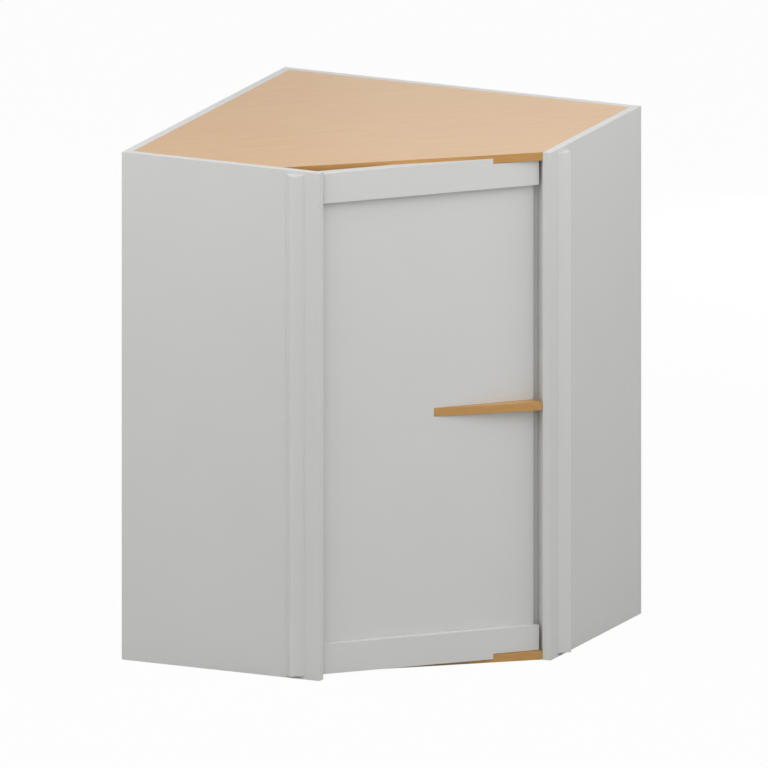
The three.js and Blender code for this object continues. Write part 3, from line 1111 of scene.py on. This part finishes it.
    def countersinks(self, leaf: Leaf) -> list[bpy.types.Object]:
        """Makes the cutting cones for a leaf's screw holes.

        Args:
            leaf: The leaf.

        Returns:
            The cones.
        """
        wide, narrow = self.countersink_radius * MM, self.hole_radius * MM
        through = (self.leaf_thickness + self.hole_overrun) * MM
        outline = [(0, -OVERCUT), (wide, -OVERCUT), (wide, 0), (narrow, through), (0, through)]
        return [
            move(turned("countersink", outline, LEAF_SCREW.steps), facing(heading), place)
            for _, place, heading in self.screw_places(leaf)
        ]

    def screws(self, leaf: Leaf) -> None:
        """Builds a leaf's two screws.

        Args:
            leaf: The leaf.
        """
        for node, place, heading in self.screw_places(leaf):
            screw = LEAF_SCREW.build(node + "_fine", place, heading)
            self.workshop.place(screw, leaf.body, "plated_steel", self.workshop.finishes.nickel, node)

    def pin(self) -> None:
        """Builds the pin, with a low domed head."""
        node = f"{self.level.value}_hinge_pin"
        low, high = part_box(node)
        head, shank, chamfer = (high.x - low.x) / 2, self.pin_radius * MM, self.pin_chamfer * MM
        seat = high.z - self.pin_head * MM
        rim = seat + self.pin_head_rim * MM
        outline = [(0, low.z), (shank - chamfer, low.z), (shank, low.z + chamfer), (shank, seat)]
        outline.append((head, seat))
        outline += [
            (head * math.cos(a), rim + (high.z - rim) * math.sin(a)) for a in quarter(self.dome_steps)[:-1]
        ]
        pin = turned(node + "_fine", outline + [(0, high.z)], self.pin_steps)
        smooth(pin)
        move(pin, Matrix.Identity(3), Vector((self.axis.x, self.axis.y, 0)))
        self.workshop.place(pin, Body.CARCASS, "plated_steel", self.workshop.finishes.nickel, node)

    def build(self) -> None:
        """Builds the whole hinge."""
        for leaf in Leaf:
            self.leaf(leaf)
            self.screws(leaf)
        self.pin()


@dataclass
class CamFittings:
    """The cams and bolts that draw the decks to the side panels."""

    workshop: Workshop
    board: float = 15.0
    cam_radius: float = 7.5
    body_radius: float = 7.05  # under the lip
    cam_height: float = 11.0
    lip: float = 0.9
    chamfer: float = 0.6
    dish_radius: float = 4.65
    dish_rim: float = 4.95
    dish_depth: float = 0.5
    slot_reach: float = 3.6
    slot_width: float = 1.3
    slot_depth: float = 3.2
    arrow: tuple[float, float] = (5.3, 6.6)  # from its foot to its point, out from the middle
    arrow_width: float = 1.6
    arrow_depth: float = 0.4
    bolt_radius: float = 3.0
    bolt_core: float = 1.6
    bolt_root: float = 2.16  # between the threads
    bolt_nose: float = 1.5
    bolt_start: float = 7.7
    bolt_reach: float = 33.0
    collar: tuple[float, float] = (22.6, 23.8)
    thread_start: float = 24.4
    pitch: float = 1.5
    threads: int = 5
    cam_steps: int = 48
    bolt_steps: int = 24

    def build(self) -> None:
        """Builds every cam and its bolt."""
        for deck in Deck:
            for side in Side:
                for end in (End.REAR, End.FRONT):
                    self.fitting(deck, side, f"cam_fitting_{deck.value}_{side.value}_{end.value}")

    def fitting(self, deck: Deck, side: Side, node: str) -> None:
        """Builds one cam and its bolt.

        Args:
            deck: Deck that it is let into.
            side: Side panel that it draws to.
            node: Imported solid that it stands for.
        """
        low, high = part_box(node)
        opens_up = deck is Deck.BOTTOM
        face = high.z if opens_up else low.z
        inward = Vector((0, 0, -1 if opens_up else 1))
        inner_x = high.x if side is Side.LEFT else low.x
        radius = self.cam_radius * MM
        middle = Vector((inner_x + side.sign * radius, high.y - radius, face))
        finishes = self.workshop.finishes
        cam = self.cam(node + "_cam", middle, inward)
        self.workshop.place(cam, Body.CARCASS, "zinc_fitting", finishes.zinc, node)
        middle.z = (0.0 if opens_up else face) + self.board / 2 * MM
        bolt = self.bolt(node + "_bolt", middle, Vector((side.sign, -1, 0)).normalized())
        self.workshop.place(bolt, Body.CARCASS, "zinc_fitting", finishes.nickel, node)

    def cam(self, name: str, place: Vector, inward: Vector) -> bpy.types.Object:
        """Builds a cam: a lipped disc with a dished face, a cross slot and an arrow on its rim.

        Args:
            name: Name of the piece.
            place: Middle of its face.
            inward: The way that it goes into the deck.

        Returns:
            The cam.
        """
        lip_foot = self.lip + self.chamfer
        outline = [
            (0, self.dish_depth),
            (self.dish_radius, self.dish_depth),
            (self.dish_rim, 0),
            (self.cam_radius - self.chamfer, 0),
            (self.cam_radius, self.chamfer),
            (self.cam_radius, lip_foot),
            (self.body_radius, lip_foot + self.chamfer),
            (self.body_radius, self.cam_height - self.chamfer),
            (self.body_radius - self.chamfer, self.cam_height),
            (0, self.cam_height),
        ]
        cam = turned(name, in_metres(outline), self.cam_steps)
        foot, point = self.arrow
        half = self.arrow_width / 2
        arrow = in_metres([(foot, -half), (point, 0.0), (foot, half)])
        tools = cross(self.slot_reach * MM, self.slot_width / 2 * MM, -OVERCUT, self.slot_depth * MM)
        tools.append(prism("arrow", arrow, -OVERCUT, self.arrow_depth * MM))
        cut(cam, tools)
        smooth(cam)
        return move(cam, facing(inward), place)

    def bolt(self, name: str, place: Vector, heading: Vector) -> bpy.types.Object:
        """Builds a bolt from the cam's wall into the side panel, with its collar and thread.

        Args:
            name: Name of the piece.
            place: Point on the cam's axis at the bolt's height.
            heading: The way to the side panel.

        Returns:
            The bolt.
        """
        back, front = self.collar
        outline = [(0.0, self.bolt_start), (self.bolt_core, self.bolt_start), (self.bolt_core, back)]
        outline += [(self.bolt_radius, back), (self.bolt_radius, front)]
        for i in range(self.threads):
            foot = self.thread_start + i * self.pitch
            outline += [(self.bolt_root, foot), (self.bolt_radius, foot + self.pitch / 2)]
        outline += [(self.bolt_root, self.bolt_reach - self.chamfer), (self.bolt_nose, self.bolt_reach)]
        bolt = turned(name, in_metres(outline + [(0.0, self.bolt_reach)]), self.bolt_steps)
        smooth(bolt)
        return move(bolt, facing(heading), place)


@dataclass
class ShelfPins:
    """Moulded pins that stand in drilled holes and carry the shelf."""

    workshop: Workshop
    peg_radius: float = 3.2
    peg: float = 9.0
    nose_share: float = 0.5  # length of the rounded nose, as a share of the peg's radius
    nose_steps: int = 6
    groove_depth: float = 0.45
    groove: tuple[float, float, float, float] = (1.7, 1.6, 1.3, 1.2)  # out from the panel's face
    shoulder: tuple[float, float] = (0.35, 0.32)
    insert_radius: float = 2.5
    insert: float = 8.0
    rib_start: float = 1.0
    rib_pitch: float = 1.6
    rib_root: float = 2.2
    ribs: int = 4
    end_radii: tuple[float, float] = (2.0, 1.5)
    end_chamfer: float = 0.4
    steps: int = 32

    def heading(self, side: Side, end: End) -> Vector:
        """Gives the way that a pin goes into its panel."""
        return Vector((side.sign, 1 if end is End.BACK else -1, 0)).normalized()

    def build(self) -> None:
        """Builds the six pins."""
        finish = self.workshop.finishes.nylon
        # A pin's seat lies off the middle of its box, because its peg is longer and thicker than its insert.
        off = (self.peg + self.peg_radius - self.insert - self.insert_radius) / 2 * MM
        for side in Side:
            for end in End:
                node = f"shelf_pin_{side.value}_{end.value}"
                low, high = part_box(node)
                way = self.heading(side, end)
                pin = self.pin(node + "_fine", (low + high) / 2 + way * off, way)
                self.workshop.place(pin, Body.CARCASS, "moulded_plastic", finish, node)

    def pin(self, name: str, seat: Vector, heading: Vector) -> bpy.types.Object:
        """Builds a pin with a rounded peg, a groove for the shelf's clip and a ribbed insert.

        Args:
            name: Name of the piece.
            seat: Point on its axis at the panel's face.
            heading: The way into the panel.

        Returns:
            The pin.
        """
        peg, thin = self.peg_radius, self.insert_radius
        waist = peg - self.groove_depth
        outline = [(0.0, -self.peg)]
        outline += [
            (peg * math.sin(a), peg * self.nose_share * (1 - math.cos(a)) - self.peg)
            for a in quarter(self.nose_steps)[1:]
        ]
        radii = (peg, waist, waist, peg, peg, thin)
        outline += [(radius, -out) for radius, out in zip(radii, self.groove + self.shoulder)]
        for i in range(self.ribs):
            foot = self.rib_start + i * self.rib_pitch
            outline += [(self.rib_root, foot), (thin, foot + self.rib_pitch / 2)]
        neck, end = self.end_radii
        outline += [(neck, self.insert - self.end_chamfer), (end, self.insert), (0.0, self.insert)]
        pin = turned(name, in_metres(outline), self.steps)
        smooth(pin)
        return move(pin, facing(heading), seat)


# ---------------------------------------------------------------------------
# Sub-assemblies
# ---------------------------------------------------------------------------


@dataclass
class Plan:
    """The cabinet in plan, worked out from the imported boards. Lengths in metres."""

    corner: float = field(init=False)
    wall_run: float = field(init=False)
    board: float = field(init=False)
    height: float = field(init=False)

    def __post_init__(self) -> None:
        """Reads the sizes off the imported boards' boxes."""
        deck_low, deck_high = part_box("top_deck")
        self.board = deck_high.z - deck_low.z
        self.height = deck_high.z
        self.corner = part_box("left_back_panel")[1].y
        self.wall_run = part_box("right_side_panel")[1].x * DIAGONAL

    def from_wall(self, side: Side, out: float, along: float) -> tuple[float, float]:
        """Gives a point by its distances from a wall and from the room corner.

        Args:
            side: The wall.
            out: Distance out from the wall.
            along: Distance along the wall from the room corner.

        Returns:
            X and Y.
        """
        return side.sign * (along - out) / DIAGONAL, self.corner - (along + out) / DIAGONAL

    def strip(self, side: Side, outs: tuple[float, float], alongs: tuple[float, float]) -> Outline:
        """Gives the plan of a strip that lies square to a wall."""
        places = [(outs[0], alongs[0]), (outs[1], alongs[0]), (outs[1], alongs[1]), (outs[0], alongs[1])]
        return [self.from_wall(side, out, along) for out, along in places]


@dataclass
class PaintedJoints:
    """Filler in the glued joints, sprayed over with the boards. Sizes in millimetres."""

    workshop: Workshop
    plan: Plan
    seam: float = 0.3
    below: float = 0.25  # depth of the filler's face under the boards' faces, and twice that beside a stile
    stile_reach: float = 8.0  # depth of the filler beside a stile

    def build(self) -> None:
        """Builds every filler."""
        plan, seam, below = self.plan, self.seam * MM, self.below * MM
        inner = plan.wall_run - plan.board
        for side in Side:
            start = below if side is Side.LEFT else plan.board + seam / 2
            back = plan.strip(side, (start, plan.board), (inner - seam, inner))
            self.fill(f"{side.value}_back_joint", back, below, plan.height - below)
            self.stile_joint(side, Stile.SCRIBE, plan.wall_run)
            self.stile_joint(side, Stile.FRAME, inner - seam)
        corner = plan.strip(Side.RIGHT, (below, plan.board), (plan.board, plan.board + seam))
        self.fill("corner_joint", corner, below, plan.height - below)

    def stile_joint(self, side: Side, stile: Stile, along: float) -> None:
        """Fills the joint between a stile and its side panel.

        Args:
            side: Side of the cabinet.
            stile: Stile beside the panel.
            along: Where the joint starts, along the wall.
        """
        seam, below = self.seam * MM, self.below * MM
        low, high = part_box(f"{side.value}_{stile.value}_stile")
        front = (self.plan.corner - low.y) * DIAGONAL - along - seam / 2
        outs = (front - self.stile_reach * MM, front - 2 * below)
        outline = self.plan.strip(side, outs, (along, along + seam))
        self.fill(f"{side.value}_{stile.value}_joint", outline, low.z + below, high.z - below)

    def fill(self, name: str, outline: Outline, low: float, high: float) -> None:
        """Makes one filler.

        Args:
            name: Name of the piece.
            outline: Its plan.
            low: Lower height.
            high: Upper height.
        """
        filler = prism(name, outline, low, high)
        self.workshop.place(filler, Body.CARCASS, "painted_ply", self.workshop.finishes.paint)


@dataclass
class Carcass:
    """Panels, decks, hanging rails and shelf. Widths of eased edges in millimetres."""

    workshop: Workshop
    paint_edge: float = 0.7
    veneer_edge: float = 0.5

    def build(self) -> None:
        """Dresses the boards and builds their fittings."""
        finishes = self.workshop.finishes
        for side in Side:
            self.workshop.dress(f"{side.value}_side_panel", finishes.paint, self.paint_edge)
            self.workshop.dress(f"{side.value}_back_panel", finishes.paint, self.paint_edge)
            for level in Level:
                rail = f"{level.value}_{side.value}_hanging_rail"
                self.workshop.dress(rail, finishes.rail_maple[side], self.veneer_edge)
        for deck in ("top_deck", "bottom_deck", "shelf"):
            self.workshop.dress(deck, finishes.deck_maple, self.veneer_edge)
        PaintedJoints(self.workshop, Plan()).build()
        CamFittings(self.workshop).build()
        ShelfPins(self.workshop).build()


@dataclass
class FaceFrame:
    """The four stiles. Width of eased edges in millimetres."""

    workshop: Workshop
    edge: float = 0.7

    def build(self) -> None:
        """Dresses the stiles."""
        for side in Side:
            for stile in Stile:
                name = f"{side.value}_{stile.value}_stile"
                self.workshop.dress(name, self.workshop.finishes.paint, self.edge)


@dataclass
class Door:
    """Rails, panel, pull, bumpers and the catch's strike plate. Widths of eased edges in millimetres."""

    workshop: Workshop
    rail_edge: float = 0.7
    panel_edge: float = 0.4
    pull_edge: float = 0.5
    plate_edge: float = 0.25
    rim_share: float = 0.6  # rounded part of a bumper's thickness
    rim_steps: int = 6
    bumper_steps: int = 48

    def build(self) -> None:
        """Dresses the door's boards and builds its small hardware."""
        finishes = self.workshop.finishes
        self.workshop.dress("door_top_rail", finishes.paint, self.rail_edge)
        self.workshop.dress("door_bottom_rail", finishes.paint, self.rail_edge)
        self.workshop.dress("door_panel", finishes.paint, self.panel_edge)
        self.workshop.dress("door_pull", finishes.solid_maple, self.pull_edge)
        self.workshop.dress("catch_strike_plate", finishes.nickel, self.plate_edge)
        self.rear_screws("pull_screw", PULL_SCREW)
        self.rear_screws("strike_screw", STRIKE_SCREW)
        for level in Level:
            self.bumper(f"{level.value}_bumper")

    def rear_screws(self, stem: str, screw: Screw) -> None:
        """Builds a pair of screws that go in from behind the door.

        Args:
            stem: Their nodes' common name.
            screw: The screw.
        """
        for number in PAIR:
            node = f"{stem}_{number}"
            low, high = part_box(node)
            place = (low + high) / 2
            place.y = high.y + screw.top * MM
            piece = screw.build(node + "_fine", place, FRONTWARD)
            self.workshop.place(piece, Body.DOOR, "plated_steel", self.workshop.finishes.nickel, node)

    def bumper(self, node: str) -> None:
        """Builds a felt bumper: a disc with a soft, rounded rim.

        Args:
            node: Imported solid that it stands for.
        """
        low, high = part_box(node)
        seat = (low + high) / 2
        seat.y = low.y
        radius, thick = (high.x - low.x) / 2, high.y - low.y
        soft = thick * self.rim_share
        outline = [(0, 0), (radius, 0)]
        outline += [
            (radius - soft * (1 - math.cos(a)), thick - soft * (1 - math.sin(a)))
            for a in quarter(self.rim_steps)
        ]
        disc = turned(node + "_fine", outline + [(0, thick)], self.bumper_steps)
        smooth(disc)
        move(disc, facing(REARWARD), seat)
        self.workshop.place(disc, Body.DOOR, "bumper_felt", self.workshop.finishes.felt, node)


@dataclass
class Catch:
    """The magnetic catch behind the right frame stile. Widths of eased edges in millimetres."""

    workshop: Workshop
    body_edge: float = 0.5
    magnet_edge: float = 0.4

    def build(self) -> None:
        """Dresses the catch and builds its screws."""
        finishes = self.workshop.finishes
        self.workshop.dress("catch_body", finishes.nylon, self.body_edge)
        self.workshop.dress("catch_magnet", finishes.ferrite, self.magnet_edge)
        for number in PAIR:
            node = f"catch_screw_{number}"
            low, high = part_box(node)
            place = (low + high) / 2
            place.x = low.x
            screw = CATCH_SCREW.build(node + "_fine", place, RIGHTWARD)
            self.workshop.place(screw, Body.CARCASS, "plated_steel", finishes.nickel, node)


# ---------------------------------------------------------------------------
# Studio
# ---------------------------------------------------------------------------


def toward(bearing: float, elevation: float) -> Vector:
    """Gives the direction from the cabinet to a lamp or the camera.

    Args:
        bearing: Degrees about the vertical, from straight in front of the door towards +X.
        elevation: Degrees over level.

    Returns:
        Direction of length 1.
    """
    turn, tilt = math.radians(bearing), math.radians(elevation)
    return Vector((math.sin(turn) * math.cos(tilt), -math.cos(turn) * math.cos(tilt), math.sin(tilt)))


def stand(data: bpy.types.ID, place: Vector, back: Vector) -> bpy.types.Object:
    """Links a lamp or a camera, which looks along its own -Z.

    Args:
        data: The lamp or camera data.
        place: Its place.
        back: The way that its back points.

    Returns:
        The linked object.
    """
    piece = bpy.data.objects.new(data.name, data)
    bpy.context.scene.collection.objects.link(piece)
    piece.location = place
    piece.rotation_mode = "QUATERNION"
    piece.rotation_quaternion = back.to_track_quat("Z", "Y")
    return piece


@dataclass(frozen=True)
class Softbox:
    """A square soft lamp that faces a point on the cabinet's middle line."""

    name: str
    bearing: float  # degrees, as for toward()
    elevation: float  # degrees, as for toward()
    distance: float  # metres from the point that it faces
    size: float  # metres
    power: float  # watts
    aim_height: float = 0.5  # of the point that it faces, in metres

    def build(self) -> None:
        """Makes the lamp in its place."""
        data = bpy.data.lights.new(self.name, "AREA")
        data.shape = "SQUARE"
        data.size = self.size
        data.energy = self.power
        away = toward(self.bearing, self.elevation)
        stand(data, Vector((0, 0, self.aim_height)) + away * self.distance, away)


# Most are large and dim, so that gloss stays calm. The two wall lamps light the outsides of the backs, and
# stay lower than the top, so that its lacquer doesn't mirror them. After the names: bearing, elevation,
# distance, size and power.
SOFTBOXES = (
    Softbox("front_softbox", -20.0, 30.0, 4.0, 3.0, 31.8),
    Softbox("left_softbox", -60.0, 45.0, 2.4, 1.8, 14.5),
    Softbox("right_softbox", 45.0, 41.0, 2.44, 1.8, 20.5),
    Softbox("overhead_softbox", -90.0, 83.0, 2.42, 3.0, 1.2, aim_height=0.0),
    Softbox("rear_softbox", 144.5, 14.7, 3.56, 2.0, 4.3, aim_height=0.9),
    Softbox("left_rear_softbox", -115.0, 28.0, 2.6, 1.8, 7.8),
    Softbox("left_wall_softbox", -135.0, 0.0, 3.2, 0.8, 27.0, aim_height=0.45),
    Softbox("right_wall_softbox", 138.0, 0.0, 3.2, 0.8, 27.0, aim_height=0.45),
)


@dataclass
class Studio:
    """A pale floor, a white surround, soft lamps and the camera. Lengths in metres, angles in degrees."""

    azimuth: float = -20.39
    elevation: float = 13.83
    frame_width: float = 1.3439
    aim_right: float = 0.0420
    aim_up: float = 0.4175
    camera_distance: float = 6.0
    floor_size: float = 14.0
    floor_thickness: float = 0.02
    floor_drop: float = 0.0005  # of its face under the cabinet, so that no two faces share a plane
    floor_colour: str = "#c8c8c6"
    floor_white_share: float = 0.97
    ambient: float = 0.338

    def camera(self) -> None:
        """Makes the camera, whose picture has parallel edges, as the photograph's has."""
        turn = math.radians(self.azimuth)
        right = Vector((math.cos(turn), math.sin(turn), 0))
        back = toward(self.azimuth, self.elevation)
        data = bpy.data.cameras.new("camera")
        data.type = "ORTHO"
        data.ortho_scale = self.frame_width
        aim = right * self.aim_right + back.cross(right) * self.aim_up
        bpy.context.scene.camera = stand(data, aim + back * self.camera_distance, back)

    def floor(self) -> None:
        """Makes the floor: white to the camera but for the cabinet's soft shadow, and pale to the light."""
        half = self.floor_size / 2
        corners = [(-half, -half), (half, -half), (half, half), (-half, half)]
        plane = prism("floor", corners, -self.floor_thickness, -self.floor_drop)
        material, tree = new_material("matt_white_studio_floor")
        ray = add_node(tree, "ShaderNodeLightPath").outputs["Is Camera Ray"]
        settings = {"operation": "MULTIPLY", 1: self.floor_white_share}
        share = add_node(tree, "ShaderNodeMath", settings, {0: ray})
        matt = add_node(tree, "ShaderNodeBsdfDiffuse", {"Color": linear(self.floor_colour)})
        white = add_node(tree, "ShaderNodeEmission", {"Color": WHITE, "Strength": 1.0})
        mixed = add_node(
            tree,
            "ShaderNodeMixShader",
            links={0: share.outputs["Value"], 1: matt.outputs["BSDF"], 2: white.outputs["Emission"]},
        )
        add_node(tree, "ShaderNodeOutputMaterial", links={"Surface": mixed.outputs["Shader"]})
        plane.data.materials.append(material)

    def surround(self) -> None:
        """Makes the surround: white where it is seen or mirrored, and a soft sky for the rest."""
        world = bpy.data.worlds.new("studio_surround")
        world.use_nodes = True
        tree = world.node_tree
        tree.nodes.clear()
        rays = add_node(tree, "ShaderNodeLightPath").outputs
        bare = rays["Is Camera Ray"]
        for ray in (rays["Is Glossy Ray"], rays["Is Transmission Ray"]):
            either = add_node(tree, "ShaderNodeMath", {"operation": "MAXIMUM"}, {0: bare, 1: ray})
            bare = either.outputs["Value"]
        soft = add_node(tree, "ShaderNodeBackground", {"Color": WHITE, "Strength": self.ambient})
        white = add_node(tree, "ShaderNodeBackground", {"Color": WHITE, "Strength": 1.0})
        mixed = add_node(
            tree,
            "ShaderNodeMixShader",
            links={0: bare, 1: soft.outputs["Background"], 2: white.outputs["Background"]},
        )
        add_node(tree, "ShaderNodeOutputWorld", links={"Surface": mixed.outputs["Shader"]})
        bpy.context.scene.world = world

    def build(self) -> None:
        """Builds the studio."""
        self.camera()
        self.floor()
        self.surround()
        for softbox in SOFTBOXES:
            softbox.build()
        bpy.context.scene.view_settings.view_transform = "Standard"
        LOG.info("built the studio with %d lamps", len(SOFTBOXES))


def main() -> None:
    """Loads the frame, dresses it, and builds the hardware and the studio."""
    logging.basicConfig(level=logging.INFO, format="%(name)s: %(message)s")
    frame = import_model()
    bpy.context.view_layer.update()
    Studio().build()
    workshop = Workshop(frame["nodes"], Finishes())
    Carcass(workshop).build()
    FaceFrame(workshop).build()
    Door(workshop).build()
    axis = Vector(frame["joints"][0]["pos_m"])
    for level in Level:
        Hinge(level, workshop, axis).build()
    Catch(workshop).build()
    bpy.context.view_layer.update()
    LOG.info("%d pieces dressed or built", workshop.made)


if __name__ == "__main__":
    main()
